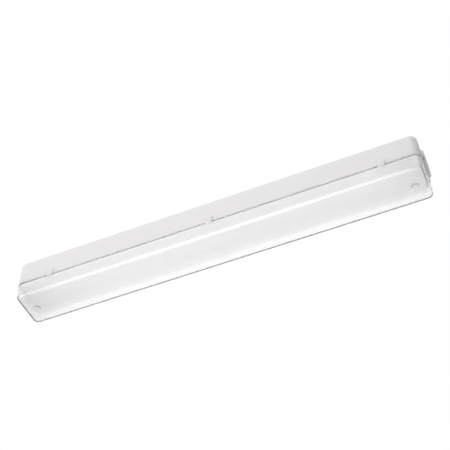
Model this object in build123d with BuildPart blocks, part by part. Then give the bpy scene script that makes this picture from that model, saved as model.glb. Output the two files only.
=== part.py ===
from build123d import *
import os

os.makedirs("parts", exist_ok=True)

# Driving dimensions of a ceiling-mounted vapor tight light fixture, in millimetres and degrees.
# The origin is the middle of the housing's top face, which lies against the ceiling.
# X runs along the fixture, Y across it (the near side is -Y) and Z up.

# Housing: a moulded white trough, open downwards
housing_length = 1263.0
housing_width = 136.0
housing_height = 84.5
housing_wall = 3.0
housing_draft = 1.0
housing_corner = 24.0
housing_top_round = 6.0
rim_width = 11.0
rim_height = 10.0
groove_lip = 3.0
groove_width = 5.0
groove_depth = 6.0
rib_count = 9
rib_spacing = 128.0
rib_thickness = 2.0
rib_depth = 8.0

# Raised pad on the right end, low round seat on the left end, and the conduit entries in both
pad_width = 88.0
pad_height = 42.0
pad_rise = 23.0
pad_projection = 6.0
pad_root = 4.5
pad_corner = 18.0
pad_edge_round = 4.0
seat_radius = 18.0
seat_projection = 1.0
seat_root = 2.0
entry_radius = 11.1
entry_boss_radius = 16.0
entry_boss_depth = 8.0

# Ceiling fixing holes
mount_hole_radius = 3.5
mount_hole_spacing = 914.4
mount_boss_radius = 10.0
mount_boss_height = 5.0

# Gasket in the rim groove
gasket_height = 5.0
gasket_clearance = 0.15

# Lens: a clear trough with a flange
seam_gap = 1.5
flange_inset = 0.75
flange_thickness = 4.0
flange_side_ledge = 2.6
flange_end_ledge = 0.75
flange_corner_ledge = 2.75
flange_bevel = 0.4
flange_reach = 8.0
lens_depth = 55.0
lens_wall = 2.8
lens_end_slope = 0.6
lens_side_slope = 0.7
lens_corner_slope = 3.0
lens_edge_round = 12.0
tongue_width = 2.4
seal_gap = 0.3
boss_inset = 40.4
boss_radius = 11.0
boss_height = 3.0
boss_recess_radius = 6.5
boss_recess_depth = 2.0
boss_edge_round = 0.8

# Latches along both long sides, on cross pins between ears of the housing
latch_end_inset = 115.0
latch_shift = 2.0
latch_width = 21.0
latch_thickness = 2.4
latch_standoff = 0.5
latch_clearance = 0.3
latch_side_clearance = 0.4
latch_round = 0.5
pin_rise = 9.0
pin_out = 2.7
pin_radius = 1.0
pin_fit = 0.03
pin_play = 0.08
knuckle_radius = 2.3
ear_thickness = 2.6
ear_radius = 2.6
ear_root_height = 14.0
lip_engagement = 2.0
lip_thickness = 2.4
lip_nose = 1.2
lip_lead = 1.2
tab_reach = 1.6
tab_height = 3.0

# Gear tray: folded white sheet that closes the housing and carries everything electrical
tray_recess = 3.0
tray_gauge = 1.0
tray_flange = 8.0
tray_clearance = 1.0
tray_bend = 2.0
post_radius = 4.5
post_end_inset = 65.5
post_inner_offset = 190.0
post_offset = 44.0
post_pilot_depth = 14.0
tray_screw_radius = 1.75
tray_screw_head_radius = 4.0
tray_screw_head_height = 2.4
tray_screw_length = 12.0
tray_hole_play = 0.3
pilot_fit = 0.03

# LED boards in two rows under the tray
row_offset = 24.0
board_gap = 6.0
board_end_margin = 16.0
board_width = 22.0
board_thickness = 1.6
board_screw_offset = 7.0
board_screw_inset = 15.0
board_screw_radius = 1.5
board_screw_head_radius = 2.6
board_screw_head_height = 1.8
board_screw_reach = 2.0
board_hole_play = 0.05
chip_pitch = 25.0
chip_end_margin = 8.0
chip_length = 3.0
chip_width = 3.0
chip_height = 0.7

# Driver on the tray's upper side
driver_start = 90.0
driver_length = 260.0
driver_width = 38.0
driver_height = 27.0
driver_round = 2.0
driver_foot = 13.0
driver_foot_width = 26.0
driver_foot_thickness = 1.5
driver_slot_radius = 2.2
driver_slot_length = 9.0
driver_screw_radius = 1.9
driver_screw_head_radius = 4.0
driver_screw_head_height = 2.4

# Terminal block and earth screw
terminal_inset = 102.0
terminal_length = 30.0
terminal_width = 27.0
terminal_height = 18.0
terminal_round = 1.2
terminal_pitch = 8.0
terminal_poles = 3
terminal_hole_radius = 1.7
terminal_hole_depth = 7.0
terminal_screw_radius = 1.5
terminal_screw_head_radius = 2.6
terminal_screw_head_height = 1.6
terminal_screw_recess = 9.0
earth_back = 46.0
earth_offset = 30.0
earth_screw_radius = 2.0
earth_head_radius = 4.5
earth_head_height = 3.0
earth_washer_radius = 5.5
earth_washer_height = 1.0
ring_thickness = 0.8
ring_radius = 5.0
ring_tongue_length = 16.0
ring_tongue_width = 4.0

# Leads
lead_radius = 1.1
lead_rise = 8.0
lead_straight = 22.0
lead_fall = 18.0
lead_bend = 7.0
board_lead_inset = 11.0
board_lead_pitch = 6.0
board_lead_bend = 5.0
lead_hole_play = 1.4
lead_stub = 4.0

# Closing plug in the left entry
plug_flange_radius = 16.0
plug_flange_thickness = 2.5
plug_shank_length = 11.0
plug_clearance = 0.2
plug_seal_thickness = 1.0
plug_slot_width = 2.5
plug_slot_length = 16.0
plug_slot_depth = 1.2
plug_edge_round = 0.8

# Reach within which a face counts as lying at a height
pick_tolerance = 0.01

# Heights and half sizes that follow from these
half_length = housing_length / 2
half_width = housing_width / 2
rim_z = -housing_height
pad_face = half_length + pad_projection
seat_face = half_length + seat_projection
pad_z = rim_z + pad_rise
flange_top_z = rim_z - seam_gap
flange_under_z = flange_top_z - flange_thickness
lens_bottom_z = flange_top_z - lens_depth
pin_z = rim_z + pin_rise
tray_face_z = rim_z + tray_recess
tray_top_z = tray_face_z + tray_gauge
board_face_z = tray_face_z - board_thickness
groove_centre = groove_lip + groove_width / 2
tray_length = housing_length - 2 * (rim_width + tray_clearance)
tray_width = housing_width - 2 * (rim_width + tray_clearance)
tray_corner = housing_corner - rim_width - tray_clearance
board_length = tray_length / 2 - board_end_margin - board_gap / 2
driver_centre = driver_start + driver_length / 2
driver_end = driver_start + driver_length
terminal_start = half_length - terminal_inset - terminal_length
terminal_centre = terminal_start + terminal_length / 2
earth_x = terminal_start - earth_back
lead_z = tray_top_z + lead_rise
lead_floor_z = tray_top_z + lead_radius
latch_end = half_length - latch_end_inset
latch_stations = {"left": -latch_end, "mid": 0.0, "right": latch_end}
latch_sides = {"near": -1, "far": 1}
latch_places = [
    (f"{side_name}_{station_name}", station - side * latch_shift, side)
    for side_name, side in latch_sides.items()
    for station_name, station in latch_stations.items()
]
end_sides = (-1, 1)
post_end = half_length - post_end_inset
post_stations = (-post_end, -post_inner_offset, post_inner_offset, post_end)
post_points = [(x, side * post_offset) for x in post_stations for side in end_sides]
mount_points = [(side * mount_hole_spacing / 2, 0) for side in end_sides]

# Boards: name, middle and the screws that hold each one
board_rows = {"near": -row_offset, "far": row_offset}
board_halves = {"left": -1, "right": 1}
board_middle = (board_gap + board_length) / 2
board_screw_steps = (board_screw_inset - board_length / 2, 0, board_length / 2 - board_screw_inset)
boards = []
for row_name, row_y in board_rows.items():
    screw_y = row_y + board_screw_offset * (1 if row_y > 0 else -1)
    for half_name, half_side in board_halves.items():
        middle_x = half_side * board_middle
        screws = [(middle_x + step, screw_y) for step in board_screw_steps]
        lead_point = (half_side * (board_gap / 2 + board_lead_inset), row_y)
        boards.append((f"{row_name}_{half_name}", middle_x, row_y, screws, lead_point))
board_screw_points = [point for board in boards for point in board[3]]
board_lead_points = [board[4] for board in boards]
driver_screw_points = [
    (driver_start - driver_foot / 2, 0),
    (driver_end + driver_foot / 2, 0),
]


def ring_band(length, width, corner, outer, inner):
    """A rounded rectangular band between two insets of one outline."""
    with BuildSketch() as band:
        RectangleRounded(length - 2 * outer, width - 2 * outer, corner - outer)
        RectangleRounded(length - 2 * inner, width - 2 * inner, corner - inner, mode=Mode.SUBTRACT)
    return band.sketch


# Housing: drafted shell, gasket rim, end pads, tray posts, ribs and latch ears
with BuildPart() as housing:
    with BuildSketch(Plane.XY.offset(rim_z)):
        RectangleRounded(housing_length, housing_width, housing_corner)
    extrude(amount=housing_height, taper=housing_draft)
    fillet(housing.faces().sort_by(Axis.Z)[-1].edges(), radius=housing_top_round)
    with BuildSketch(Plane.XY.offset(rim_z)):
        RectangleRounded(
            housing_length - 2 * housing_wall,
            housing_width - 2 * housing_wall,
            housing_corner - housing_wall,
        )
    extrude(amount=housing_height - housing_wall, taper=housing_draft, mode=Mode.SUBTRACT)
    ceiling = housing.faces().filter_by(Axis.Z).filter_by_position(
        Axis.Z, -housing_wall - pick_tolerance, -housing_wall + pick_tolerance
    )
    fillet(ceiling.edges(), radius=housing_top_round - housing_wall)

    with BuildSketch(Plane.XY.offset(rim_z)):
        add(ring_band(housing_length, housing_width, housing_corner, housing_wall / 2, rim_width))
    extrude(amount=rim_height)

    # Ribs across the inside of the top
    with BuildSketch(Plane.XY.offset(-housing_wall - rib_depth)):
        with GridLocations(rib_spacing, 1, rib_count, 1):
            Rectangle(rib_thickness, housing_width - 2 * (housing_wall + housing_top_round))
    extrude(amount=rib_depth + housing_wall / 2)

    # Posts that the tray is screwed to, and bosses round the ceiling fixing holes
    with BuildSketch(Plane.XY.offset(tray_top_z)):
        with Locations(*post_points):
            Circle(post_radius)
    extrude(amount=-housing_wall / 2 - tray_top_z)
    with BuildSketch(Plane.XY.offset(-housing_wall - mount_boss_height)):
        with Locations(*mount_points):
            Circle(mount_boss_radius)
    extrude(amount=mount_boss_height + housing_wall / 2)
    with BuildSketch(Plane.XY.offset(tray_top_z)):
        with Locations(*post_points):
            Circle(tray_screw_radius + pilot_fit)
    extrude(amount=post_pilot_depth, mode=Mode.SUBTRACT)
    with BuildSketch():
        with Locations(*mount_points):
            Circle(mount_hole_radius)
    extrude(amount=-housing_wall - mount_boss_height, mode=Mode.SUBTRACT)

    # Pad outside the right end, low seat for the plug outside the left end
    with BuildSketch(Plane.YZ.offset(pad_face)):
        with Locations((0, pad_z)):
            RectangleRounded(pad_width, pad_height, pad_corner)
    extrude(amount=-pad_projection - pad_root)
    fillet(housing.faces().sort_by(Axis.X)[-1].edges(), radius=pad_edge_round)
    with BuildSketch(Plane.YZ.offset(-seat_face)):
        with Locations((0, pad_z)):
            Circle(seat_radius)
    extrude(amount=seat_projection + seat_root)

    # Locknut bosses inside both ends, and the conduit entries through them
    for side, face in ((1, pad_face), (-1, seat_face)):
        with BuildSketch(Plane.YZ.offset(side * (half_length - entry_boss_depth))):
            with Locations((0, pad_z)):
                Circle(entry_boss_radius)
        extrude(amount=side * (entry_boss_depth - housing_wall / 2))
        with BuildSketch(Plane.YZ.offset(side * face)):
            with Locations((0, pad_z)):
                Circle(entry_radius)
        extrude(amount=-side * (face - half_length + entry_boss_depth), mode=Mode.SUBTRACT)

    # Groove for the gasket, cut after the pad and the seat so that it runs on past them
    with BuildSketch(Plane.XY.offset(rim_z)):
        add(ring_band(housing_length, housing_width, housing_corner, groove_lip, groove_lip + groove_width))
    extrude(amount=groove_depth, mode=Mode.SUBTRACT)

    # Ears for the latch pins
    ear_shift = latch_width / 2 + latch_side_clearance + ear_thickness / 2
    for place_name, station, side in latch_places:
        for ear_side in end_sides:
            with BuildSketch(Plane.YZ.offset(station + ear_side * ear_shift)):
                with Locations((side * (half_width + pin_out), pin_z)):
                    Circle(ear_radius)
                with Locations((side * (half_width - housing_wall / 2), pin_z)):
                    Rectangle(housing_wall / 2, ear_root_height)
                make_hull()
                with Locations((side * (half_width + pin_out), pin_z)):
                    Circle(pin_radius + pin_fit, mode=Mode.SUBTRACT)
            extrude(amount=ear_thickness / 2, both=True)
housing.part.label = "housing"
export_step(housing.part, "parts/housing.step")

# Gasket: a soft ring pressed into the top of the rim groove
with BuildPart() as gasket:
    with BuildSketch(Plane.XY.offset(rim_z + groove_depth)):
        add(
            ring_band(
                housing_length,
                housing_width,
                housing_corner,
                groove_lip + gasket_clearance,
                groove_lip + groove_width - gasket_clearance,
            )
        )
    extrude(amount=-gasket_height)
gasket.part.label = "gasket"
export_step(gasket.part, "parts/gasket.step")

# Lens: tapered clear trough with a clamping flange, an inner shelf that carries the sealing tongue,
# and two round bosses under its ends
flange_length = housing_length - 2 * flange_inset
flange_width = housing_width - 2 * flange_inset
flange_corner = housing_corner - flange_inset
mouth_length = flange_length - 2 * flange_end_ledge
mouth_width = flange_width - 2 * flange_side_ledge
mouth_corner = flange_corner - flange_corner_ledge
bottom_length = mouth_length - 2 * lens_end_slope
bottom_width = mouth_width - 2 * lens_side_slope
bottom_corner = mouth_corner - lens_corner_slope
boss_points = [(side * (bottom_length / 2 - boss_inset), 0) for side in end_sides]
tongue_top_z = rim_z + groove_depth - gasket_height - seal_gap
with BuildPart() as lens_space:
    with BuildSketch(Plane.XY.offset(lens_bottom_z + lens_wall)):
        RectangleRounded(
            bottom_length - 2 * lens_wall,
            bottom_width - 2 * lens_wall,
            bottom_corner - lens_wall,
        )
    with BuildSketch(Plane.XY.offset(flange_top_z)):
        RectangleRounded(mouth_length - 2 * lens_wall, mouth_width - 2 * lens_wall, mouth_corner - lens_wall)
    loft(ruled=True)
    fillet(lens_space.faces().sort_by(Axis.Z)[0].edges(), radius=lens_edge_round - lens_wall)
with BuildPart() as lens:
    with BuildSketch(Plane.XY.offset(flange_under_z)):
        RectangleRounded(flange_length, flange_width, flange_corner)
    extrude(amount=flange_thickness)
    chamfer(lens.faces().sort_by(Axis.Z)[0].edges(), length=flange_bevel)
    with BuildSketch(Plane.XY.offset(lens_bottom_z)):
        RectangleRounded(bottom_length, bottom_width, bottom_corner)
    with BuildSketch(Plane.XY.offset(flange_top_z)):
        RectangleRounded(mouth_length, mouth_width, mouth_corner)
    loft(ruled=True)
    fillet(lens.faces().sort_by(Axis.Z)[0].edges(), radius=lens_edge_round)
    add(lens_space.part, mode=Mode.SUBTRACT)
    with BuildSketch(Plane.XY.offset(flange_under_z)):
        add(ring_band(housing_length, housing_width, housing_corner, groove_lip, flange_reach))
    extrude(amount=flange_thickness)
    with BuildSketch(Plane.XY.offset(flange_top_z)):
        add(
            ring_band(
                housing_length,
                housing_width,
                housing_corner,
                groove_centre - tongue_width / 2,
                groove_centre + tongue_width / 2,
            )
        )
    extrude(amount=tongue_top_z - flange_top_z)
    with BuildSketch(Plane.XY.offset(lens_bottom_z - boss_height)):
        with Locations(*boss_points):
            Circle(boss_radius)
    extrude(amount=boss_height + lens_wall / 2)
    boss_rims = lens.faces().sort_by(Axis.Z)[:2].edges()
    fillet(boss_rims, radius=boss_edge_round)
    with BuildSketch(Plane.XY.offset(lens_bottom_z - boss_height)):
        with Locations(*boss_points):
            Circle(boss_recess_radius)
    extrude(amount=boss_recess_depth, mode=Mode.SUBTRACT)
lens.part.label = "lens"
export_step(lens.part, "parts/lens.step")

# Latches: a knuckle on the pin, an arm down over the seam and a lip under the lens flange
lip_top = -(seam_gap + flange_thickness + latch_clearance)
lip_bottom = lip_top - lip_thickness
lip_tip = -(flange_inset + lip_engagement)
arm_outer = latch_standoff + latch_thickness
latch_outline = [
    (latch_standoff, pin_rise),
    (latch_standoff, lip_top),
    (lip_tip, lip_top),
    (lip_tip, lip_top - lip_nose),
    (lip_tip + lip_lead, lip_bottom),
    (arm_outer, lip_bottom),
    (arm_outer + tab_reach, lip_bottom + tab_height / 2),
    (arm_outer, lip_bottom + tab_height),
    (pin_out + knuckle_radius, pin_rise),
]
for place_name, station, side in latch_places:
    with BuildPart() as latch:
        with BuildSketch(Plane.YZ.offset(station)) as profile:
            with BuildLine():
                Polyline(
                    [(side * (half_width + out), rim_z + rise) for out, rise in latch_outline],
                    close=True,
                )
            make_face()
            fillet(profile.vertices().filter_by(lambda v: v.Y < rim_z), radius=latch_round)
            with Locations((side * (half_width + pin_out), pin_z)):
                Circle(knuckle_radius)
                Circle(pin_radius + pin_play, mode=Mode.SUBTRACT)
        extrude(amount=latch_width / 2, both=True)
    latch.part.label = f"latch_{place_name}"
    export_step(latch.part, f"parts/latch_{place_name}.step")

# Latch pins, one through each pair of ears
with BuildPart() as latch_pins:
    pin_half = latch_width / 2 + latch_side_clearance + ear_thickness
    for place_name, station, side in latch_places:
        with BuildSketch(Plane.YZ.offset(station)):
            with Locations((side * (half_width + pin_out), pin_z)):
                Circle(pin_radius)
        extrude(amount=pin_half, both=True)
latch_pins.part.label = "latch_pins"
export_step(latch_pins.part, "parts/latch_pins.step")

# Gear tray: a shallow folded pan, face down, with holes for its screws and the board leads
with BuildPart() as gear_tray:
    with BuildSketch(Plane.XY.offset(tray_face_z)):
        RectangleRounded(tray_length, tray_width, tray_corner)
    extrude(amount=tray_flange)
    fillet(gear_tray.faces().sort_by(Axis.Z)[0].edges(), radius=tray_bend)
    with BuildSketch(Plane.XY.offset(tray_top_z)):
        RectangleRounded(tray_length - 2 * tray_gauge, tray_width - 2 * tray_gauge, tray_corner - tray_gauge)
    extrude(amount=tray_flange, mode=Mode.SUBTRACT)
    floor = gear_tray.faces().filter_by(Axis.Z).sort_by(SortBy.AREA)[-2:].sort_by(Axis.Z)[-1]
    fillet(floor.edges(), radius=tray_bend - tray_gauge)
    with BuildSketch(Plane.XY.offset(tray_face_z)):
        with Locations(*post_points):
            Circle(tray_screw_radius + tray_hole_play)
        with Locations(*board_screw_points):
            Circle(board_screw_radius + board_hole_play)
        with Locations(*board_lead_points):
            Circle(lead_radius + lead_hole_play)
        with Locations(*driver_screw_points):
            Circle(driver_screw_radius + board_hole_play)
        with Locations((terminal_centre, 0)):
            Circle(terminal_screw_radius + board_hole_play)
        with Locations((earth_x, earth_offset)):
            Circle(earth_screw_radius + board_hole_play)
    extrude(amount=tray_gauge, mode=Mode.SUBTRACT)
gear_tray.part.label = "gear_tray"
export_step(gear_tray.part, "parts/gear_tray.step")

# Tray screws, up through the tray into the housing's posts
with BuildPart() as tray_screws:
    with BuildSketch(Plane.XY.offset(tray_face_z)):
        with Locations(*post_points):
            Circle(tray_screw_head_radius)
    extrude(amount=-tray_screw_head_height)
    chamfer(tray_screws.faces().group_by(Axis.Z)[0].edges(), length=tray_screw_head_height / 3)
    with BuildSketch(Plane.XY.offset(tray_face_z)):
        with Locations(*post_points):
            Circle(tray_screw_radius)
    extrude(amount=tray_screw_length)
tray_screws.part.label = "tray_screws"
export_step(tray_screws.part, "parts/tray_screws.step")

# LED boards, screwed flat against the tray's lower face, with their LEDs
chip_count = int((board_length - 2 * chip_end_margin) // chip_pitch) + 1
for name, middle_x, row_y, screws, lead_point in boards:
    with BuildPart() as led_board:
        with BuildSketch(Plane.XY.offset(tray_face_z)):
            with Locations((middle_x, row_y)):
                Rectangle(board_length, board_width)
            with Locations(*screws):
                Circle(board_screw_radius + board_hole_play, mode=Mode.SUBTRACT)
        extrude(amount=-board_thickness)
    led_board.part.label = f"led_board_{name}"
    export_step(led_board.part, f"parts/led_board_{name}.step")
    with BuildPart() as led_chips:
        with BuildSketch(Plane.XY.offset(board_face_z)):
            with Locations((middle_x, row_y)):
                with GridLocations(chip_pitch, 1, chip_count, 1):
                    Rectangle(chip_length, chip_width)
        extrude(amount=-chip_height)
    led_chips.part.label = f"led_chips_{name}"
    export_step(led_chips.part, f"parts/led_chips_{name}.step")

with BuildPart() as board_screws:
    with BuildSketch(Plane.XY.offset(board_face_z)):
        with Locations(*board_screw_points):
            Circle(board_screw_head_radius)
    extrude(amount=-board_screw_head_height)
    with BuildSketch(Plane.XY.offset(board_face_z)):
        with Locations(*board_screw_points):
            Circle(board_screw_radius)
    extrude(amount=board_thickness + tray_gauge + board_screw_reach)
board_screws.part.label = "board_screws"
export_step(board_screws.part, "parts/board_screws.step")

# Driver: a closed metal case with slotted feet, and lead openings in both ends
board_lead_rank = [(rank - (len(boards) - 1) / 2) * board_lead_pitch for rank in range(len(boards))]
supply_ys = (-terminal_pitch, 0)
earth_y = terminal_pitch
with BuildPart() as led_driver:
    with BuildSketch(Plane.XY.offset(tray_top_z)):
        with Locations((driver_centre, 0)):
            RectangleRounded(driver_length, driver_width, driver_round)
    extrude(amount=driver_height)
    fillet(led_driver.faces().sort_by(Axis.Z)[-1].edges(), radius=driver_round / 2)
    with BuildSketch(Plane.XY.offset(tray_top_z)):
        with Locations((driver_centre, 0)):
            Rectangle(driver_length + 2 * driver_foot, driver_foot_width)
        with Locations(*driver_screw_points):
            SlotOverall(driver_slot_length, 2 * driver_slot_radius, mode=Mode.SUBTRACT)
    extrude(amount=driver_foot_thickness)
    with BuildSketch(Plane.YZ.offset(driver_start)):
        with Locations(*[(y, lead_z) for y in board_lead_rank]):
            Circle(lead_radius + lead_hole_play / 2)
    extrude(amount=lead_stub, mode=Mode.SUBTRACT)
    with BuildSketch(Plane.YZ.offset(driver_end)):
        with Locations(*[(y, lead_z) for y in supply_ys]):
            Circle(lead_radius + lead_hole_play / 2)
    extrude(amount=-lead_stub, mode=Mode.SUBTRACT)
led_driver.part.label = "led_driver"
export_step(led_driver.part, "parts/led_driver.step")

foot_top_z = tray_top_z + driver_foot_thickness
with BuildPart() as driver_screws:
    with BuildSketch(Plane.XY.offset(foot_top_z)):
        with Locations(*driver_screw_points):
            Circle(driver_screw_head_radius)
    extrude(amount=driver_screw_head_height)
    with BuildSketch(Plane.XY.offset(foot_top_z)):
        with Locations(*driver_screw_points):
            Circle(driver_screw_radius)
    extrude(amount=-driver_foot_thickness - tray_gauge)
driver_screws.part.label = "driver_screws"
export_step(driver_screws.part, "parts/driver_screws.step")

# Terminal block with wire entries on both faces and a sunk middle screw
with BuildPart() as terminal_block:
    with BuildSketch(Plane.XY.offset(tray_top_z)):
        with Locations((terminal_centre, 0)):
            RectangleRounded(terminal_length, terminal_width, terminal_round)
    extrude(amount=terminal_height)
    chamfer(terminal_block.faces().sort_by(Axis.Z)[-1].edges(), length=terminal_round / 2)
    for face_x, inward in ((terminal_start, 1), (terminal_start + terminal_length, -1)):
        with BuildSketch(Plane.YZ.offset(face_x)):
            with Locations((0, lead_z)):
                with GridLocations(terminal_pitch, 1, terminal_poles, 1):
                    Circle(terminal_hole_radius)
        extrude(amount=inward * terminal_hole_depth, mode=Mode.SUBTRACT)
    with BuildSketch(Plane.XY.offset(tray_top_z + terminal_height)):
        with Locations((terminal_centre, 0)):
            Circle(terminal_screw_head_radius + tray_hole_play)
    extrude(amount=terminal_screw_recess - terminal_height, mode=Mode.SUBTRACT)
    with BuildSketch(Plane.XY.offset(tray_top_z)):
        with Locations((terminal_centre, 0)):
            Circle(terminal_screw_radius + board_hole_play)
    extrude(amount=terminal_height, mode=Mode.SUBTRACT)
terminal_block.part.label = "terminal_block"
export_step(terminal_block.part, "parts/terminal_block.step")

with BuildPart() as terminal_screw:
    with BuildSketch(Plane.XY.offset(tray_top_z + terminal_screw_recess)):
        with Locations((terminal_centre, 0)):
            Circle(terminal_screw_head_radius)
    extrude(amount=terminal_screw_head_height)
    with BuildSketch(Plane.XY.offset(tray_top_z + terminal_screw_recess)):
        with Locations((terminal_centre, 0)):
            Circle(terminal_screw_radius)
    extrude(amount=-terminal_screw_recess - tray_gauge)
terminal_screw.part.label = "terminal_screw"
export_step(terminal_screw.part, "parts/terminal_screw.step")

# Earth screw: hexagon head with a washer face, clamping the earth lead's ring to the tray
ring_top_z = tray_top_z + ring_thickness
with BuildPart() as earth_screw:
    with BuildSketch(Plane.XY.offset(ring_top_z)):
        with Locations((earth_x, earth_offset)):
            Circle(earth_washer_radius)
    extrude(amount=earth_washer_height)
    with BuildSketch(Plane.XY.offset(ring_top_z + earth_washer_height)):
        with Locations((earth_x, earth_offset)):
            RegularPolygon(earth_head_radius, 6)
    extrude(amount=earth_head_height)
    with BuildSketch(Plane.XY.offset(ring_top_z)):
        with Locations((earth_x, earth_offset)):
            Circle(earth_screw_radius)
    extrude(amount=-ring_thickness - tray_gauge)
earth_screw.part.label = "earth_screw"
export_step(earth_screw.part, "parts/earth_screw.step")

# Supply leads from the driver to the terminal block, dipping to lie on the tray
supply_start = driver_end - lead_stub
supply_stop = terminal_start + terminal_hole_depth
with BuildPart() as supply_leads:
    for y in supply_ys:
        with BuildLine() as route:
            FilletPolyline(
                (supply_start, y, lead_z),
                (driver_end + lead_straight, y, lead_z),
                (driver_end + lead_straight + lead_fall, y, lead_floor_z),
                (terminal_start - lead_straight - lead_fall, y, lead_floor_z),
                (terminal_start - lead_straight, y, lead_z),
                (supply_stop, y, lead_z),
                radius=lead_bend,
            )
        with BuildSketch(Plane(origin=route.line @ 0, z_dir=route.line % 0)):
            Circle(lead_radius)
        sweep(path=route.line)
supply_leads.part.label = "supply_leads"
export_step(supply_leads.part, "parts/supply_leads.step")

# Earth lead from the block to a ring under the earth screw
with BuildPart() as earth_lead:
    lead_on_ring_z = ring_top_z + lead_radius
    with BuildLine() as route:
        FilletPolyline(
            (supply_stop, earth_y, lead_z),
            (terminal_start - lead_straight, earth_y, lead_z),
            (earth_x + ring_radius + ring_tongue_length + lead_bend, earth_offset, lead_on_ring_z),
            (earth_x + earth_washer_radius + lead_radius, earth_offset, lead_on_ring_z),
            radius=lead_bend,
        )
    with BuildSketch(Plane(origin=route.line @ 0, z_dir=route.line % 0)):
        Circle(lead_radius)
    sweep(path=route.line)
    with BuildSketch(Plane.XY.offset(tray_top_z)):
        with Locations((earth_x, earth_offset)):
            Circle(ring_radius)
        with Locations((earth_x + (ring_radius + ring_tongue_length) / 2, earth_offset)):
            Rectangle(ring_radius + ring_tongue_length, ring_tongue_width)
        with Locations((earth_x, earth_offset)):
            Circle(earth_screw_radius + board_hole_play, mode=Mode.SUBTRACT)
    extrude(amount=ring_thickness)
earth_lead.part.label = "earth_lead"
export_step(earth_lead.part, "parts/earth_lead.step")

# Board leads from the driver, down through the tray to the back of each board
with BuildPart() as board_leads:
    lead_order = sorted(board_lead_points, key=lambda point: (point[1], point[0] * point[1]))
    for start_y, (end_x, end_y) in zip(board_lead_rank, lead_order):
        with BuildLine() as route:
            FilletPolyline(
                (driver_start + lead_stub, start_y, lead_z),
                (driver_start - driver_foot - lead_straight, start_y, lead_z),
                (end_x, end_y, lead_z),
                (end_x, end_y, tray_face_z),
                radius=board_lead_bend,
            )
        with BuildSketch(Plane(origin=route.line @ 0, z_dir=route.line % 0)):
            Circle(lead_radius)
        sweep(path=route.line)
board_leads.part.label = "board_leads"
export_step(board_leads.part, "parts/board_leads.step")

# Closing plug and its sealing washer in the left entry
plug_seat = -seat_face - plug_seal_thickness
with BuildPart() as entry_plug:
    with BuildSketch(Plane.YZ.offset(plug_seat)):
        with Locations((0, pad_z)):
            Circle(plug_flange_radius)
    extrude(amount=-plug_flange_thickness)
    fillet(entry_plug.faces().sort_by(Axis.X)[0].edges(), radius=plug_edge_round)
    with BuildSketch(Plane.YZ.offset(plug_seat)):
        with Locations((0, pad_z)):
            Circle(entry_radius - plug_clearance)
    extrude(amount=plug_shank_length)
    with BuildSketch(Plane.YZ.offset(plug_seat - plug_flange_thickness)):
        with Locations((0, pad_z)):
            Rectangle(plug_slot_length, plug_slot_width)
    extrude(amount=plug_slot_depth, mode=Mode.SUBTRACT)
entry_plug.part.label = "entry_plug"
export_step(entry_plug.part, "parts/entry_plug.step")

with BuildPart() as plug_seal:
    with BuildSketch(Plane.YZ.offset(-seat_face)):
        with Locations((0, pad_z)):
            Circle(plug_flange_radius)
            Circle(entry_radius, mode=Mode.SUBTRACT)
    extrude(amount=-plug_seal_thickness)
plug_seal.part.label = "plug_seal"
export_step(plug_seal.part, "parts/plug_seal.step")
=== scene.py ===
import bmesh
import bpy
from math import cos, pi, radians, sin
from mathutils import Matrix, Vector


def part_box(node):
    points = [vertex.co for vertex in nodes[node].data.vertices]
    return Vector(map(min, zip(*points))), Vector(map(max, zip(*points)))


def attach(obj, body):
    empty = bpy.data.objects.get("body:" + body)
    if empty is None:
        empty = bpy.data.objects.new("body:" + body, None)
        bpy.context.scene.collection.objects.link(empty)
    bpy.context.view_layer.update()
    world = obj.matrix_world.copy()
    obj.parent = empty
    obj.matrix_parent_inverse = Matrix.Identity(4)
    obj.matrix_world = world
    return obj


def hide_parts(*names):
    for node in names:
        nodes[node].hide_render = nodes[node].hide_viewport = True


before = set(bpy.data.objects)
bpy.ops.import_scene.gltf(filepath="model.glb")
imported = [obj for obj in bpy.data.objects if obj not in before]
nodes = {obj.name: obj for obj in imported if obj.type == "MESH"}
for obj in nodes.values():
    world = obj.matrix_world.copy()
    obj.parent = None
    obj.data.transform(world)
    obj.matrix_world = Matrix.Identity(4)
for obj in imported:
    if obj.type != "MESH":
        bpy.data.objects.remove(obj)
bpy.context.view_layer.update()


# Housing: one long trough injection moulded in white polycarbonate, with the gasket rim, the entry
# pad and the latch ears in the same piece. The tool leaves a fine even grain, so it is satin, not
# shiny.
scene = bpy.context.scene
scene.view_settings.view_transform = "Standard"


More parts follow.
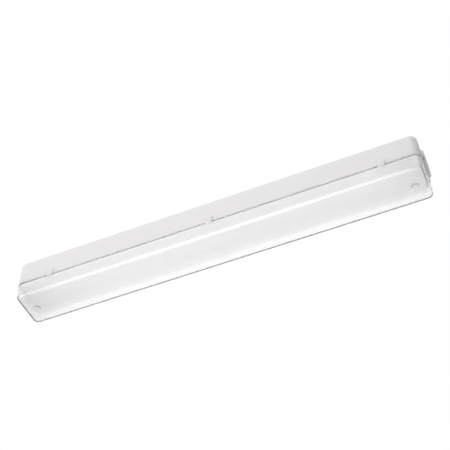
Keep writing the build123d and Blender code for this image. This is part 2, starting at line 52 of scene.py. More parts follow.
class Wire:
    """A socket of a shader or of a Geometry Nodes tree that can be used in sums and products."""

    def __init__(self, tree, socket):
        self.tree = tree
        self.socket = socket

    def node(self, kind, settings=None, inputs=None, out=0):
        """Add a node to the tree, with settings and inputs, and return one of its outputs."""
        made = self.tree.nodes.new(kind)
        for key, value in (settings or {}).items():
            setattr(made, key, value)
        for key, value in (inputs or {}).items():
            for single in value if isinstance(value, list) else [value]:
                if isinstance(single, Wire):
                    self.tree.links.new(single.socket, made.inputs[key])
                else:
                    made.inputs[key].default_value = single
        return Wire(self.tree, made.outputs[out])

    def maths(self, operation, first, second=0.0):
        return self.node("ShaderNodeMath", {"operation": operation}, {0: first, 1: second})

    def __add__(self, other):
        return self.maths("ADD", self, other)

    def __radd__(self, other):
        return self.maths("ADD", other, self)

    def __sub__(self, other):
        return self.maths("SUBTRACT", self, other)

    def __rsub__(self, other):
        return self.maths("SUBTRACT", other, self)

    def __mul__(self, other):
        return self.maths("MULTIPLY", self, other)

    def __rmul__(self, other):
        return self.maths("MULTIPLY", other, self)

    def __truediv__(self, other):
        return self.maths("DIVIDE", self, other)

    def __pow__(self, other):
        return self.maths("POWER", self, other)

    def size_of(self):
        return self.maths("ABSOLUTE", self)

    def between(self, low, high):
        """0 below a value, 1 above another, with a smooth step from one to the other."""
        return self.node(
            "ShaderNodeMapRange",
            {"interpolation_type": "SMOOTHSTEP"},
            {"Value": self, "From Min": low, "From Max": high},
        )

    def along(self, axis):
        return self.node("ShaderNodeSeparateXYZ", {}, {0: self}, out=axis)

    def stretched(self, x, y, z):
        return self.node("ShaderNodeMapping", {}, {"Vector": self, "Scale": (x, y, z)})

    def noise(self, scale, detail=2.0):
        return self.node(
            "ShaderNodeTexNoise", {}, {"Vector": self, "Scale": scale, "Detail": detail}
        )

    def tint(self, low, high):
        """A colour between two, by this value."""
        return self.node(
            "ShaderNodeMix", {"data_type": "RGBA"}, {0: self, 6: (*low, 1), 7: (*high, 1)}, out=2
        )

    def to(self, shader, socket):
        self.tree.links.new(self.socket, shader.inputs[socket])

    def relief(self, shader, depth, strength):
        """Use this value as a height over the surface, in metres."""
        self.node(
            "ShaderNodeBump", {}, {"Height": self, "Distance": depth, "Strength": strength}
        ).to(shader, "Normal")


def finish(name, **values):
    """A new material with values set on its shader, that shader, and its object coordinates."""
    material = bpy.data.materials.new(name)
    material.use_nodes = True
    tree = material.node_tree
    shader = tree.nodes["Principled BSDF"]
    for key, value in values.items():
        socket = shader.inputs[key.replace("_", " ")]
        socket.default_value = (*value, 1) if isinstance(value, tuple) else value
    place = Wire(tree, tree.nodes.new("ShaderNodeTexCoord").outputs["Object"])
    return material, shader, place


def smooth_copy(node, name, crease=32):
    """A copy of a solid's mesh with its points joined and its rounds shaded smooth."""
    weld, sliver = 1e-6, 1e-7
    mesh = nodes[node].data.copy()
    shape = bmesh.new()
    shape.from_mesh(mesh)
    bmesh.ops.remove_doubles(shape, verts=shape.verts, dist=weld)
    bmesh.ops.dissolve_degenerate(shape, edges=shape.edges, dist=sliver)
    shape.to_mesh(mesh)
    shape.free()
    if "custom_normal" in mesh.attributes:
        mesh.attributes.remove(mesh.attributes["custom_normal"])
    mesh.shade_smooth()
    mesh.set_sharp_from_angle(angle=radians(crease))
    mesh.materials.clear()
    piece = bpy.data.objects.new(name, mesh)
    scene.collection.objects.link(piece)
    weighting = piece.modifiers.new("flats stay flat", "WEIGHTED_NORMAL")
    weighting.keep_sharp = True
    return piece


def put(piece, body, node, *materials):
    """Dress a piece, let it stand for a solid and ride on its body."""
    for material in materials:
        piece.data.materials.append(material)
    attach(piece, body)
    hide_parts(node)


housing_white, shader, place = finish("moulded housing white", Specular_IOR_Level=0.45)
grain = place.noise(1600, 3)
cloud = place.noise(5.0, 2)
cloud.tint((0.812, 0.796, 0.801), (0.833, 0.819, 0.823)).to(shader, "Base Color")
(0.36 + 0.12 * grain).to(shader, "Roughness")
grain.relief(shader, 0.00012, 0.18)
put(smooth_copy("housing", "housing_shell"), "fixture", "housing", housing_white)


# Latch pins: six short lengths of drawn stainless wire with rounded ends, pressed into the
# housing's ears. Each carries one latch.
millimetre = 0.001
latch_names = [
    f"latch_{side}_{station}" for side in ("near", "far") for station in ("left", "mid", "right")
]
pin_out, pin_height, pin_length, pin_radius = 70.7, -75.5, 27.0, 1.0
pin_sides, pin_rows, end_taper, end_power = 20, 14, 0.3, 30


def repeat_tree(name, sizes):
    """A Geometry Nodes tree that repeats a shape at points, and a wire for each of its inputs."""
    tree = bpy.data.node_groups.new(name, "GeometryNodeTree")
    tree.interface.new_socket("Pieces", in_out="OUTPUT", socket_type="NodeSocketGeometry")
    tree.interface.new_socket("Places", in_out="INPUT", socket_type="NodeSocketGeometry")
    for size in sizes:
        tree.interface.new_socket(size, in_out="INPUT", socket_type="NodeSocketFloat")
    entry = tree.nodes.new("NodeGroupInput")
    return tree, {socket.name: Wire(tree, socket) for socket in entry.outputs if socket.name}


def close_tree(tree, places, shape, turn):
    """Put the shape at every place, make it plain mesh and hand it out."""
    copies = places.node(
        "GeometryNodeInstanceOnPoints", {}, {"Points": places, "Instance": shape, "Rotation": turn}
    )
    plain = places.node("GeometryNodeRealizeInstances", {}, {"Geometry": copies})
    exit_node = tree.nodes.new("NodeGroupOutput")
    tree.links.new(plain.socket, exit_node.inputs[0])


def made_of(shape, material):
    """The shape with its material."""
    return shape.node("GeometryNodeSetMaterial", {}, {"Geometry": shape, "Material": material})


def repeated(name, tree, sizes, points, crease=35):
    """One plain mesh with the tree's shape at every point; the points are in millimetres."""
    mesh = bpy.data.meshes.new(name)
    mesh.from_pydata([Vector(point) * millimetre for point in points], [], [])
    piece = bpy.data.objects.new(name, mesh)
    scene.collection.objects.link(piece)
    modifier = piece.modifiers.new("repeat", "NODES")
    modifier.node_group = tree
    for item in tree.interface.items_tree:
        if item.in_out == "INPUT" and item.name in sizes:
            modifier[item.identifier] = sizes[item.name]
    seen = piece.evaluated_get(bpy.context.evaluated_depsgraph_get())
    plain = bpy.data.meshes.new_from_object(seen)
    piece.modifiers.clear()
    piece.data = plain
    plain.name = name
    plain.shade_smooth()
    plain.set_sharp_from_angle(angle=radians(crease))
    return piece


def cylinder(start, vertices, rows, radius, depth):
    """An upright cylinder, cut into rows along its height."""
    return start.node(
        "GeometryNodeMeshCylinder",
        {},
        {"Vertices": vertices, "Side Segments": rows, "Radius": radius, "Depth": depth},
    )


def drawn_to(shape, scale, rise=0.0):
    """Scale a shape about its axis by a value that may change along it, and move it along."""
    at = shape.node("GeometryNodeInputPosition")
    new = shape.node(
        "ShaderNodeCombineXYZ",
        {},
        {0: at.along(0) * scale, 1: at.along(1) * scale, 2: at.along(2) + rise},
    )
    return shape.node("GeometryNodeSetPosition", {}, {"Geometry": shape, "Position": new})


drawn_steel, shader, place = finish("drawn stainless wire", Metallic=1.0)
lines = place.stretched(30, 2400, 2400).noise(1.0, 3)
lines.tint((0.56, 0.56, 0.57), (0.68, 0.68, 0.69)).to(shader, "Base Color")
(0.24 + 0.2 * lines).to(shader, "Roughness")
lines.relief(shader, 0.00003, 0.3)

pin_tree, sizes = repeat_tree("pins", ("Radius", "Length"))
start = sizes["Places"]
rod = cylinder(start, pin_sides, pin_rows, sizes["Radius"], sizes["Length"])
from_middle = (rod.node("GeometryNodeInputPosition").along(2) / sizes["Length"]).size_of() * 2
rod = made_of(drawn_to(rod, 1 - end_taper * from_middle ** end_power), drawn_steel)
close_tree(pin_tree, start, rod, (0, pi / 2, 0))
pin_points = []
for name in latch_names:
    low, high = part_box(name)
    side = 1 if low[1] + high[1] > 0 else -1
    pin_points.append(((low[0] + high[0]) / 2 / millimetre, side * pin_out, pin_height))
pins = repeated(
    "latch_pin_set",
    pin_tree,
    {"Radius": pin_radius * millimetre, "Length": pin_length * millimetre},
    pin_points,
)
put(pins, "fixture", "latch_pins")


# Gasket: dark grey silicone, poured into the rim's groove and cured there in one ring.
# It is matt and slightly uneven where it was laid.
silicone, shader, place = finish("dark grey silicone", Roughness=0.7, Specular_IOR_Level=0.35)
laid = place.noise(220, 2)
laid.tint((0.05, 0.05, 0.05), (0.07, 0.07, 0.07)).to(shader, "Base Color")
laid.relief(shader, 0.0004, 0.3)
put(smooth_copy("gasket", "gasket_ring"), "fixture", "gasket", silicone)


# Closing plug: a moulded cap with a coin slot in the unused left entry, with a flat silicone washer
# under its head.
plug_white, shader, place = finish("moulded plug white", Specular_IOR_Level=0.4)
grain = place.noise(1500, 3)
grain.tint((0.78, 0.775, 0.775), (0.82, 0.815, 0.815)).to(shader, "Base Color")
(0.45 + 0.12 * grain).to(shader, "Roughness")
grain.relief(shader, 0.00012, 0.2)
put(smooth_copy("entry_plug", "entry_plug_cap"), "fixture", "entry_plug", plug_white)
put(smooth_copy("plug_seal", "plug_washer"), "fixture", "plug_seal", silicone)


# Driver: the ballast of an LED fixture, in a folded steel case with white paint, screwed to the
# tray's upper side by its two slotted feet.
case_paint, shader, place = finish("driver case paint", Specular_IOR_Level=0.5)
peel = place.noise(520, 2)
dust = place.noise(18, 4)
dust.tint((0.72, 0.72, 0.725), (0.79, 0.79, 0.79)).to(shader, "Base Color")
(0.34 + 0.14 * peel).to(shader, "Roughness")
peel.relief(shader, 0.0002, 0.2)
put(smooth_copy("led_driver", "led_driver_case"), "fixture", "led_driver", case_paint)


# Terminal block: a matt white moulding with three wire entries on each face, where the supply meets
# the fixture's own leads. One screw holds it to the tray.
block_white, shader, place = finish("moulded terminal white", Specular_IOR_Level=0.35)
grain = place.noise(1900, 3)
grain.tint((0.74, 0.735, 0.7), (0.79, 0.785, 0.75)).to(shader, "Base Color")
(0.5 + 0.14 * grain).to(shader, "Roughness")
grain.relief(shader, 0.0001, 0.25)
put(smooth_copy("terminal_block", "terminal_moulding"), "fixture", "terminal_block", block_white)


# Earth screw: a steel screw with a green painted hexagon head, driven into the tray. It clamps the
# ring of the earth lead to the bare metal.
earth_green, shader, place = finish("green earth paint", Specular_IOR_Level=0.5)
worn = place.noise(900, 4)
worn.tint((0.02, 0.16, 0.05), (0.05, 0.24, 0.09)).to(shader, "Base Color")
(0.3 + 0.25 * worn).to(shader, "Roughness")
worn.relief(shader, 0.00008, 0.3)
put(smooth_copy("earth_screw", "earth_screw_hexagon"), "fixture", "earth_screw", earth_green)


# Leads: stranded copper in soft insulation, black for the supply, green for the earth and white for
# the boards. They lie on the tray between the driver, the block and the boards.
def insulation(name, dark, pale):
    """Soft extruded plastic: fine lines along the wire and a low sheen."""
    material, shader, place = finish(name, Specular_IOR_Level=0.4)
    drawn = place.stretched(60, 900, 900).noise(1.0, 3)
    drawn.tint(dark, pale).to(shader, "Base Color")
    (0.42 + 0.2 * drawn).to(shader, "Roughness")
    drawn.relief(shader, 0.00005, 0.2)
    return material


lead_finishes = {
    "supply_leads": insulation("black insulation", (0.012, 0.012, 0.012), (0.03, 0.03, 0.03)),
    "earth_lead": insulation("green insulation", (0.02, 0.14, 0.04), (0.04, 0.2, 0.07)),
    "board_leads": insulation("white insulation", (0.66, 0.66, 0.66), (0.74, 0.74, 0.74)),
}
for name, material in lead_finishes.items():
    put(smooth_copy(name, f"{name}_run", crease=40), "fixture", name, material)


# Gear tray: thin steel sheet, pressed with a shallow turned-up edge and baked with white enamel.
# It hangs on the housing's posts by eight screws and closes off the wiring.
enamel, shader, place = finish("white baked enamel", Specular_IOR_Level=0.5)
peel = place.noise(420, 2)
cloud = place.noise(7.0, 2)
cloud.tint((0.915, 0.918, 0.915), (0.935, 0.938, 0.935)).to(shader, "Base Color")
(0.3 + 0.12 * peel).to(shader, "Roughness")
peel.relief(shader, 0.0002, 0.12)
put(smooth_copy("gear_tray", "gear_tray_pan"), "fixture", "gear_tray", enamel)


# LED boards: four strips of aluminium with a white solder mask, screwed under the tray in two rows.
# Two copper tracks under the mask stand up slightly along each strip.
row_middle, track_offset, track_half, track_fade = 0.024, 0.0062, 0.0011, 0.0004
mask_white, shader, place = finish("white solder mask", Specular_IOR_Level=0.5)
from_row = (place.along(1).size_of() - row_middle).size_of()
track = 1 - (from_row - track_offset).size_of().between(track_half, track_half + track_fade)
speckle = place.noise(700, 3)
paleness = track * 0.35 + speckle * 0.4
paleness.tint((0.885, 0.888, 0.882), (0.93, 0.93, 0.925)).to(shader, "Base Color")
(0.36 + 0.12 * speckle - 0.06 * track).to(shader, "Roughness")
(track + 0.1 * speckle).relief(shader, 0.00008, 0.5)
board_names = [f"{row}_{half}" for row in ("near", "far") for half in ("left", "right")]
for name in board_names:
    strip = smooth_copy(f"led_board_{name}", f"led_board_{name}_strip")
    put(strip, "fixture", f"led_board_{name}", mask_white)


# LEDs: 24 small packages soldered along each board. Each is a white moulded frame with a round
# window that is filled with pale phosphor gel.
led_pitch, led_side, led_height, window_radius, window_depth = 25.0, 3.0, 0.7, 1.2, 0.25
window_sides, gel_radius, gel_depth, gel_middle = 14, 0.99, 0.6, 0.72


def box_of(start, x, y, z):
    """A box with these three sizes."""
    size = start.node("ShaderNodeCombineXYZ", {}, {0: x, 1: y, 2: z})
    return start.node("GeometryNodeMeshCube", {}, {"Size": size})


def cut_by(shape, cutters):
    """The shape with what the cutters fill taken out of it."""
    return shape.node(
        "GeometryNodeMeshBoolean",
        {"operation": "DIFFERENCE", "solver": "EXACT"},
        {"Mesh 1": shape, "Mesh 2": cutters},
    )


def joined(first, second):
    """Two shapes as one."""
    return first.node("GeometryNodeJoinGeometry", {}, {0: [first, second]})


led_frame, shader, place = finish("white LED frame", Specular_IOR_Level=0.45)
matt = place.noise(2500, 2)
matt.tint((0.9, 0.9, 0.89), (0.93, 0.93, 0.92)).to(shader, "Base Color")
(0.4 + 0.15 * matt).to(shader, "Roughness")
phosphor, shader, place = finish("pale phosphor", Specular_IOR_Level=0.5)
gel = place.noise(3500, 2)
gel.tint((0.87, 0.79, 0.5), (0.9, 0.84, 0.6)).to(shader, "Base Color")
(0.3 + 0.2 * gel).to(shader, "Roughness")
gel.relief(shader, 0.00004, 0.3)

led_tree, sizes = repeat_tree("LED packages", ("Side", "Height", "Window radius", "Window depth"))
start = sizes["Places"]
height, window, depth = sizes["Height"], sizes["Window radius"], sizes["Window depth"]
block = drawn_to(box_of(start, sizes["Side"], sizes["Side"], height), 1.0, height * -0.5)
cutter = drawn_to(cylinder(start, window_sides, 1, window, depth * 2), 1.0, height * -1)
gel_disc = cylinder(start, window_sides, 1, window * gel_radius, depth * gel_depth)
gel_disc = drawn_to(gel_disc, 1.0, depth * gel_middle - height)
package = joined(made_of(cut_by(block, cutter), led_frame), made_of(gel_disc, phosphor))
close_tree(led_tree, start, package, (0, 0, 0))
for name in board_names:
    low, high = [Vector(corner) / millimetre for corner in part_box(f"led_chips_{name}")]
    count = round((high.x - low.x - led_side) / led_pitch) + 1
    row = (low.y + high.y) / 2
    leds = repeated(
        f"led_row_{name}",
        led_tree,
        {
            "Side": led_side * millimetre,
            "Height": led_height * millimetre,
            "Window radius": window_radius * millimetre,
            "Window depth": window_depth * millimetre,
        },
        [(low.x + led_side / 2 + index * led_pitch, row, high.z) for index in range(count)],
        crease=30,
    )
    put(leds, "fixture", f"led_chips_{name}")


# Screws: zinc plated pan heads with a cross recess. Eight hold the tray, three each board, two the
# driver and one the terminal block.
screw_sizes = ("Head radius", "Head height", "Shank radius", "Shank length")
head_sides, head_rows, head_dome, dome_power = 24, 6, 0.34, 3
recess_width, recess_reach, shank_sides, shank_overlap = 0.26, 1.1, 14, 0.2
zinc, shader, place = finish("zinc plated steel", Metallic=1.0)
spangle = place.noise(1300, 4)
spangle.tint((0.68, 0.68, 0.69), (0.8, 0.8, 0.8)).to(shader, "Base Color")
(0.28 + 0.18 * spangle).to(shader, "Roughness")
spangle.relief(shader, 0.00004, 0.25)

screw_tree, sizes = repeat_tree("pan head screws", (*screw_sizes, "Tilt"))
start = sizes["Places"]
head_radius, head_height, shank_radius, shank_length = [sizes[size] for size in screw_sizes]
head = cylinder(start, head_sides, head_rows, head_radius, head_height)
down_head = 0.5 - head.node("GeometryNodeInputPosition").along(2) / head_height
head = drawn_to(head, 1 - head_dome * down_head ** dome_power, head_height * -0.5)
narrow, wide = head_radius * recess_width, head_radius * recess_reach
arms = [
    drawn_to(box_of(start, x, y, head_height), 1.0, head_height * -1)
    for x, y in ((wide, narrow), (narrow, wide))
]
overlap = head_height * shank_overlap
shank = cylinder(start, shank_sides, 1, shank_radius, shank_length + overlap)
shank = drawn_to(shank, 1.0, shank_length * 0.5 - overlap * 0.5)
screw = made_of(joined(cut_by(head, arms), shank), zinc)
spin = start.node(
    "FunctionNodeRandomValue",
    {"data_type": "FLOAT"},
    {"Min": 0.0, "Max": pi, "Seed": 7},
    out="Value",
)
turn = start.node("ShaderNodeCombineXYZ", {}, {0: sizes["Tilt"], 2: spin})
close_tree(screw_tree, start, screw, turn)

tray_face, tray_top, board_face = -81.5, -80.5, -83.1
post_x, post_y = (-566.0, -190.0, 190.0, 566.0), (-44.0, 44.0)
board_hole_x, board_hole_y = (-588.5, -303.25, -18.0, 18.0, 303.25, 588.5), (-31.0, 31.0)
driver_foot_x, driver_foot_top = (83.5, 356.5), tray_top + 1.5
block_x, block_top = 514.5, tray_top + 9.0
screw_sets = {
    "tray_screws": (
        (4.0, 2.4, 1.75, 12.0),
        0.0,
        [(x, y, tray_face) for x in post_x for y in post_y],
    ),
    "board_screws": (
        (2.6, 1.8, 1.5, 4.6),
        0.0,
        [(x, y, board_face) for x in board_hole_x for y in board_hole_y],
    ),
    "driver_screws": ((4.0, 2.4, 1.9, 2.5), pi, [(x, 0.0, driver_foot_top) for x in driver_foot_x]),
    "terminal_screw": ((2.6, 1.6, 1.5, 10.0), pi, [(block_x, 0.0, block_top)]),
}
for name, (dimensions, tilt, points) in screw_sets.items():
    measures = {size: value * millimetre for size, value in zip(screw_sizes, dimensions)}
    screws = repeated(f"{name}_cross_head", screw_tree, {**measures, "Tilt": tilt}, points)
    put(screws, "fixture", name)


# Lens: clear acrylic, moulded as one long trough with a flange, a sealing tongue and two round
# bosses. It is glossy outside; inside, the floor is etched and the side walls frosted to blur the
# LEDs, the end walls and ledge are sanded, and the end rounds and right ledge are polished.
flange = (1261.5, 134.5, 23.25)
mouth = (1260.0, 129.3, 20.5)
bottom = (1258.8, 127.9, 17.5)
flange_top, flange_under, lens_bottom = -86.0, -90.0, -141.0
lens_wall, edge_round, flange_bevel = 2.8, 12.0, 0.4
tongue_top, tongue_outer, tongue_inner = -83.8, 3.55, 5.95
shelf_side, shelf_end, sanded_depth = 9.6, 7.25, 4.0
crease_hold, round_turns, corner_steps, lens_crease = 0.35, 12, 14, 40


def inset(outline, amount):
    """A rounded outline, given as length, width and corner radius, drawn in by an amount."""
    return (outline[0] - 2 * amount, outline[1] - 2 * amount, outline[2] - amount)


def wall_at(z, base):
    """The lens wall's outline at a height, for a wall that runs down to a base."""
    share = (flange_top - z) / (flange_top - base)
    return tuple(upper + (lower - upper) * share for upper, lower in zip(mouth, bottom))


def rounded_ring(length, width, corner, z):
    """Points round a rounded rectangle, in metres, anticlockwise seen from above."""
    ring = []
    for index, (sx, sy) in enumerate(((1, 1), (-1, 1), (-1, -1), (1, -1))):
        for step in range(corner_steps + 1):
            angle = (index + step / corner_steps) * pi / 2
            x = sx * (length / 2 - corner) + corner * cos(angle)
            y = sy * (width / 2 - corner) + corner * sin(angle)
            ring.append(Vector((x, y, z)) * millimetre)
    return ring


shelf = (flange[0] - 2 * shelf_end, flange[1] - 2 * shelf_side, flange[2] - shelf_side)
outer = [(inset(bottom, edge_round + crease_hold), lens_bottom)]
for step in range(round_turns + 1):
    angle = step / round_turns * pi / 2
    z = lens_bottom + edge_round - edge_round * cos(angle)
    outer.append((inset(wall_at(z, lens_bottom), edge_round * (1 - sin(angle))), z))
outer += [
    (wall_at(z, lens_bottom), z)
    for z in (lens_bottom + edge_round + crease_hold, flange_under - crease_hold, flange_under)
]
outer += [
    (inset(flange, flange_bevel), flange_under),
    (flange, flange_under + flange_bevel),
    (flange, flange_top),
    (inset(flange, tongue_outer), flange_top),
    (inset(flange, tongue_outer), tongue_top),
    (inset(flange, tongue_inner), tongue_top),
    (inset(flange, tongue_inner), flange_top),
    (shelf, flange_top),
    (shelf, flange_under),
]
inner_base = lens_bottom + lens_wall
inner_round = edge_round - lens_wall
round_top = inner_base + inner_round
inner = [
    (inset(wall_at(z, inner_base), lens_wall), z)
    for z in (flange_under, flange_under - sanded_depth, round_top + crease_hold)
]
for step in range(round_turns + 1):
    angle = step / round_turns * pi / 2
    z = round_top - inner_round * sin(angle)
    inner.append((inset(wall_at(z, inner_base), lens_wall + inner_round * (1 - cos(angle))), z))
inner.append((inset(inner[-1][0], crease_hold), inner_base))

boss_x, boss_radius, boss_drop, boss_lip, boss_steps = 589.0, 11.0, 3.0, 0.8, 40
cup_radius, cup_depth, cup_bevel, cup_edge, cup_edge_rise, root = 6.5, 2.0, 0.5, 0.1, 0.15, 0.6
# The boss's side wall and this many steps of its lip rounding carry a dark grey painted shade.
lip_turns, painted_shade_turns = 6, 4
boss_profile = [
    (boss_radius + root, 0.0),
    (boss_radius + root / 4, -root / 4),
    (boss_radius, -root),
]
boss_side_row = len(boss_profile) - 1
boss_wall_rows = range(boss_side_row, boss_side_row + 1 + painted_shade_turns)
for step in range(lip_turns + 1):
    angle = step / lip_turns * pi / 2
    boss_profile.append(
        (boss_radius - boss_lip * (1 - cos(angle)), -boss_drop + boss_lip * (1 - sin(angle)))
    )
boss_profile += [
    (boss_radius - boss_lip - crease_hold, -boss_drop),
    (cup_radius + cup_bevel, -boss_drop),
    (cup_radius + cup_edge, -boss_drop + cup_edge_rise),
    (cup_radius, -boss_drop + root),
    (cup_radius, -boss_drop + cup_depth - root),
    (cup_radius - root, -boss_drop + cup_depth),
    (cup_radius - 2 * root, -boss_drop + cup_depth),
]

shape = bmesh.new()
outside, etched, rounds, polished, frosted, sanded, rim, boss_wall = range(8)
end_start = mouth[0] / 2 - edge_round - lens_wall


def bridge(first, second, sides, left=None, right=None):
    """Join two loops of points with faces; the ends may have a finish of their own."""
    count = len(first)
    for index in range(count):
        follow = (index + 1) % count
        face = shape.faces.new((first[index], first[follow], second[follow], second[index]))
        x = face.calc_center_median().x / millimetre
        if left is not None and x < -end_start:
            face.material_index = left
        elif right is not None and x > end_start:
            face.material_index = right
        else:
            face.material_index = sides


outer_loops = [[shape.verts.new(point) for point in rounded_ring(*size, z)] for size, z in outer]
inner_loops = [[shape.verts.new(point) for point in rounded_ring(*size, z)] for size, z in inner]
first_rim = outer.index((flange, flange_top))
for row in range(len(outer_loops) - 2):
    bridge(outer_loops[row], outer_loops[row + 1], outside if row < first_rim else rim)
bridge(outer_loops[-2], outer_loops[-1], sanded)
bridge(outer_loops[-1], inner_loops[0], sanded, right=polished)
bridge(inner_loops[0], inner_loops[1], sanded)
bridge(inner_loops[1], inner_loops[2], frosted, sanded, sanded)
for first, second in zip(inner_loops[2:], inner_loops[3:]):
    bridge(first, second, rounds, polished, polished)
shape.faces.new(inner_loops[-1]).material_index = etched
border_loops = [outer_loops[0]]
for side in (-1, 1):
    loops = []
    for radius, drop in boss_profile:
        loop = []
        for step in range(boss_steps):
            angle = 2 * pi * step / boss_steps
            x = side * boss_x + radius * cos(angle)
            point = Vector((x, radius * sin(angle), lens_bottom + drop))
            loop.append(shape.verts.new(point * millimetre))
        loops.append(loop)
    for row, (first, second) in enumerate(zip(loops, loops[1:])):
        bridge(first, second, boss_wall if row in boss_wall_rows else outside)
    shape.faces.new(loops[-1])
    border_loops.append(loops[0])
border = []
for loop in border_loops:
    for pair in zip(loop, loop[1:] + loop[:1]):
        border.append(shape.edges.get(pair) or shape.edges.new(pair))
bmesh.ops.triangle_fill(shape, use_beauty=True, use_dissolve=False, edges=border)
bmesh.ops.recalc_face_normals(shape, faces=shape.faces)
lens_mesh = bpy.data.meshes.new("lens_trough")
shape.to_mesh(lens_mesh)
shape.free()
lens_mesh.shade_smooth()
lens_mesh.set_sharp_from_angle(angle=radians(lens_crease))
lens = bpy.data.objects.new("lens_trough", lens_mesh)
scene.collection.objects.link(lens)


acrylic_clear = (0.998, 1.0, 0.999)


def acrylic(name, roughness, clear, wave, scale, depth=0.0001, colour=acrylic_clear):
    """Moulded acrylic that lets a share of the light through, with a slightly wavy surface."""
    material, shader, place = finish(
        name, Base_Color=colour, Roughness=roughness, IOR=1.49, Transmission_Weight=clear
    )
    place.noise(scale, 2).relief(shader, depth, wave)
    return material


def light_through(material):
    """Let scattered light fall straight through; the eye still sees a surface bend and reflect."""
    tree = material.node_tree
    shader = tree.nodes["Principled BSDF"]
    path = tree.nodes.new("ShaderNodeLightPath")
    shadow = Wire(tree, path.outputs["Is Shadow Ray"])
    scattered = Wire(tree, path.outputs["Is Diffuse Ray"])
    straight = shadow.node("ShaderNodeBsdfTransparent", {}, {"Color": (*acrylic_clear, 1)})
    seen = Wire(tree, shader.outputs["BSDF"])
    share = shadow.maths("MAXIMUM", shadow, scattered)
    both = shadow.node("ShaderNodeMixShader", {}, {0: share, 1: seen, 2: straight})
    both.to(tree.nodes["Material Output"], "Surface")


# Painted shade: the bosses' side walls are coloured dark grey and only half clear, so each boss
# shows a dark arc.
boss_painted_shade_grey = (0.08, 0.085, 0.085)
lens_finishes = [
    acrylic("clear acrylic outside", roughness=0.05, clear=1.0, wave=0.03, scale=28, depth=0.0006),
    acrylic("etched acrylic floor", roughness=0.6, clear=0.82, wave=0.1, scale=900),
    acrylic("clear acrylic rounds", roughness=0.25, clear=1.0, wave=0.05, scale=900),
    acrylic("polished acrylic ends", roughness=0.03, clear=1.0, wave=0.03, scale=200),
    acrylic("frosted acrylic walls", roughness=0.45, clear=0.6, wave=0.15, scale=700),
    acrylic("sanded acrylic ledge", roughness=0.6, clear=0.08, wave=0.3, scale=2000),
    acrylic("clear acrylic flange", roughness=0.08, clear=1.0, wave=0.03, scale=60, depth=0.0003),
    acrylic("boss wall painted shade", roughness=0.4, clear=0.5, wave=0.1, scale=900, colour=boss_painted_shade_grey),
]
for surface, material in enumerate(lens_finishes):
    if surface != rim:
        light_through(material)
put(lens, "lens", "lens", *lens_finishes)


# Latches: six small white clips moulded in polycarbonate. Each turns on its pin and snaps its lip
# under the lens flange.
latch_white, shader, place = finish("moulded latch white", Specular_IOR_Level=0.45)
grain = place.noise(1800, 2)
grain.tint((0.812, 0.796, 0.801), (0.833, 0.819, 0.823)).to(shader, "Base Color")
(0.33 + 0.12 * grain).to(shader, "Roughness")
grain.relief(shader, 0.0001, 0.15)
for name in latch_names:
    put(smooth_copy(name, f"{name}_clip", crease=35), name, name, latch_white)


# Studio: a pale floor far below and an even white surround. Dark cards draw the lens's edges, the
# right card and two small flags also shade the ends, a light sheet over the far card brightens what
# is seen through, and a white cove in front, which lights the lens alone, draws its bright line.
floor_paint, shader, place = finish("pale floor", Roughness=0.8)
place.noise(3.0, 2).tint((0.9, 0.9, 0.9), (0.92, 0.92, 0.92)).to(shader, "Base Color")


def stage_sheet(name, corners, material, faces=((0, 1, 2, 3),)):
    """A sheet of the studio, which isn't part of the fixture."""
    mesh = bpy.data.meshes.new(name)
    mesh.from_pydata(corners, [], faces)
    mesh.materials.append(material)
    sheet = bpy.data.objects.new(name, mesh)
    scene.collection.objects.link(sheet)
    return sheet


floor_z, floor_half = -3.5, 6.0
floor_corners = [
    (x * floor_half, y * floor_half, floor_z) for x, y in ((-1, -1), (1, -1), (1, 1), (-1, 1))
]
stage_sheet("floor", floor_corners, floor_paint)

ambient = 1.08
world = bpy.data.worlds.new("studio")
scene.world = world
world.use_nodes = True
surround = world.node_tree.nodes["Background"]
surround.inputs["Color"].default_value = (1, 1, 1, 1)
path = world.node_tree.nodes.new("ShaderNodeLightPath")
camera_ray, glossy_ray, clear_ray = [
    Wire(world.node_tree, path.outputs[ray])
    for ray in ("Is Camera Ray", "Is Glossy Ray", "Is Transmission Ray")
]
seen = camera_ray.maths("MAXIMUM", camera_ray.maths("MAXIMUM", camera_ray, glossy_ray), clear_ray)
(ambient + seen * (1 - ambient)).to(surround, "Strength")


def across(x, y, z):
    """Corners of an upright sheet across the fixture's length, between two values of y and z."""
    return [(x, y[0], z[0]), (x, y[0], z[1]), (x, y[1], z[1]), (x, y[1], z[0])]


def met_by(sheet, *rays):
    """Let only these kinds of ray meet a sheet."""
    for ray in ("camera", "diffuse", "glossy", "transmission", "shadow"):
        setattr(sheet, f"visible_{ray}", ray in rays)


card_black, shader, place = finish("black card", Roughness=0.9)
place.noise(40, 2).tint((0.015, 0.015, 0.015), (0.025, 0.025, 0.025)).to(shader, "Base Color")
far_y, far_left, far_right = 3.2, -4.5, 3.5
card_foot, far_top_left, far_top_right, rear_top = -0.75, 1.6, 2.2, 6.0
far_corners = [
    (far_left, far_y, card_foot),
    (far_right, far_y, card_foot),
    (far_right, far_y, far_top_right),
    (far_left, far_y, far_top_left),
]
mirrored, shading = ("glossy", "transmission"), ("diffuse", "shadow", "transmission")
cards = {
    "far_card": (far_corners, mirrored),
    "left_card": (across(x=-3.2, y=(far_y, -2.0), z=(card_foot, 1.3)), mirrored),
    "right_card": (across(x=1.6, y=(-1.1, 1.1), z=(-1.2, 0.9)), shading),
    "right_flag": (across(x=0.66, y=(-0.2, 0.03), z=(-0.26, -0.1)), shading),
    "left_flag": (across(x=-0.675, y=(-0.17, 0.17), z=(-0.22, -0.1)), shading),
}
for name, (corners, rays) in cards.items():
    met_by(stage_sheet(name, corners, card_black), *rays)


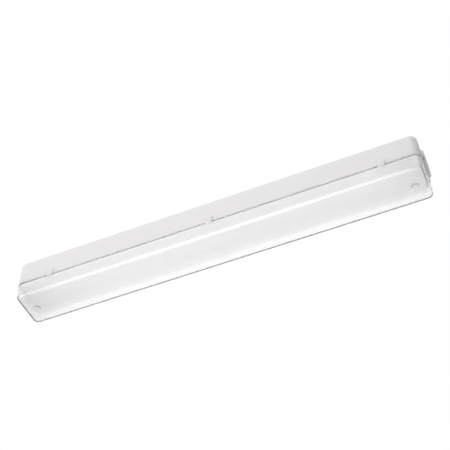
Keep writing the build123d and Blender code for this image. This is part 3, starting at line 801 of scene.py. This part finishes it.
def glowing(name, heights, strengths):
    """A light sheet's material: its strength changes from one value to another between heights."""
    material = bpy.data.materials.new(name)
    material.use_nodes = True
    tree = material.node_tree
    tree.nodes.remove(tree.nodes["Principled BSDF"])
    height = Wire(tree, tree.nodes.new("ShaderNodeTexCoord").outputs["Object"]).along(2)
    low, high = strengths
    strength = low + (high - low) * height.between(*heights)
    glow = height.node("ShaderNodeEmission", {}, {"Strength": strength})
    glow.to(tree.nodes["Material Output"], "Surface")
    return material


rear_corners = [
    (far_left, far_y, far_top_right),
    (far_right, far_y, far_top_right),
    (far_right, far_y, rear_top),
    (far_left, far_y, rear_top),
]
rear_glow = glowing("rear glow", heights=(1.9, 2.9), strengths=(1.0, 1.03))
met_by(stage_sheet("rear_light", rear_corners, rear_glow), "transmission")

cove_radius, cove_left, cove_right, cove_middle = 2.5, -2.0, 0.6, -0.13
cove_top, cove_foot, cove_turn = -50, 78, 8
cove_angles = [radians(angle) for angle in range(cove_top, cove_foot + 1, cove_turn)]
cove_corners = [
    (x, -cove_radius * cos(angle), cove_middle - cove_radius * sin(angle))
    for angle in cove_angles
    for x in (cove_left, cove_right)
]
cove_faces = [
    (2 * row, 2 * row + 1, 2 * row + 3, 2 * row + 2) for row in range(len(cove_angles) - 1)
]
cove_glow = glowing("cove glow", heights=(-1.2, 1.6), strengths=(3.8, 0.0))
cove = stage_sheet("cove", cove_corners, cove_glow, cove_faces)
met_by(cove, "glossy")
lit_by_cove = bpy.data.collections.new("lit by cove")
lit_by_cove.objects.link(lens)
cove.light_linking.receiver_collection = lit_by_cove


# Camera: below and in front of the fixture, turned a little to its right, as in the photograph.
# Its place and its three axes were fitted to the fixture's long edges and the corners of the lens.
stand = Vector((0.7035, -1.8147, -2.2659))
right = Vector((0.92510, 0.37870, -0.02771))
down = Vector((-0.30259, 0.69114, -0.65632))
ahead = Vector((-0.22940, 0.61555, 0.75397))
camera = bpy.data.objects.new("camera", bpy.data.cameras.new("camera"))
camera.data.sensor_width = 36.0
camera.data.lens = 80.0
facing = Matrix((right, -down, -ahead)).transposed().to_4x4()
camera.matrix_world = Matrix.Translation(stand) @ facing
scene.collection.objects.link(camera)
scene.camera = camera
